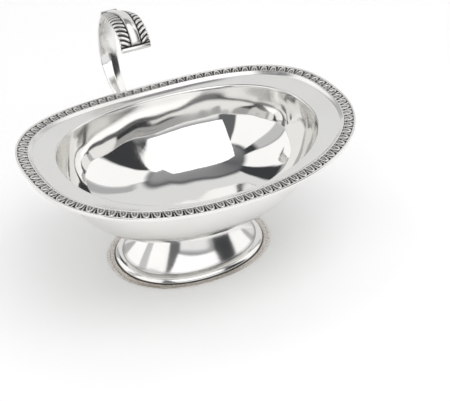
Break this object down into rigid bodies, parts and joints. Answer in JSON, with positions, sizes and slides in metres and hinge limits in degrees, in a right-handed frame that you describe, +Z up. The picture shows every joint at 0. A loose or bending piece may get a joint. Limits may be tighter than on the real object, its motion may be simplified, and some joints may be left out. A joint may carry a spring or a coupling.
{
  "type": "sauce boat",
  "caption": "Oval silver sauce boat: deep bowl with a broad bordered rim, a pedestal foot and a strap handle with a leaf thumb rest at the back.",
  "frame": {"origin": "on the table, under the middle of the foot", "axes": "+X along the bowl's length, +Y towards the handle at the middle of the long back side, +Z up"},
  "size_m": [0.2, 0.1804, 0.1179],
  "materials": {
    "polished_silver": "polished",
    "satin_silver": "satin",
    "oxidised_silver": "satin"
  },
  "bodies": {
    "root": {"bowl_body": "polished_silver", "rim_edge_wire": "polished_silver", "rim_border": "oxidised_silver", "rim_cove_moulding": "polished_silver", "foot_flange": "satin_silver", "foot_roll_moulding": "polished_silver", "foot_pedestal": "polished_silver", "foot_neck_collar": "polished_silver", "handle_strap": "polished_silver", "handle_lower_plate": "polished_silver", "handle_roll": "polished_silver", "handle_leaf": "oxidised_silver", "handle_leaf_tip_bar": "polished_silver"}
  },
  "joints": []
}
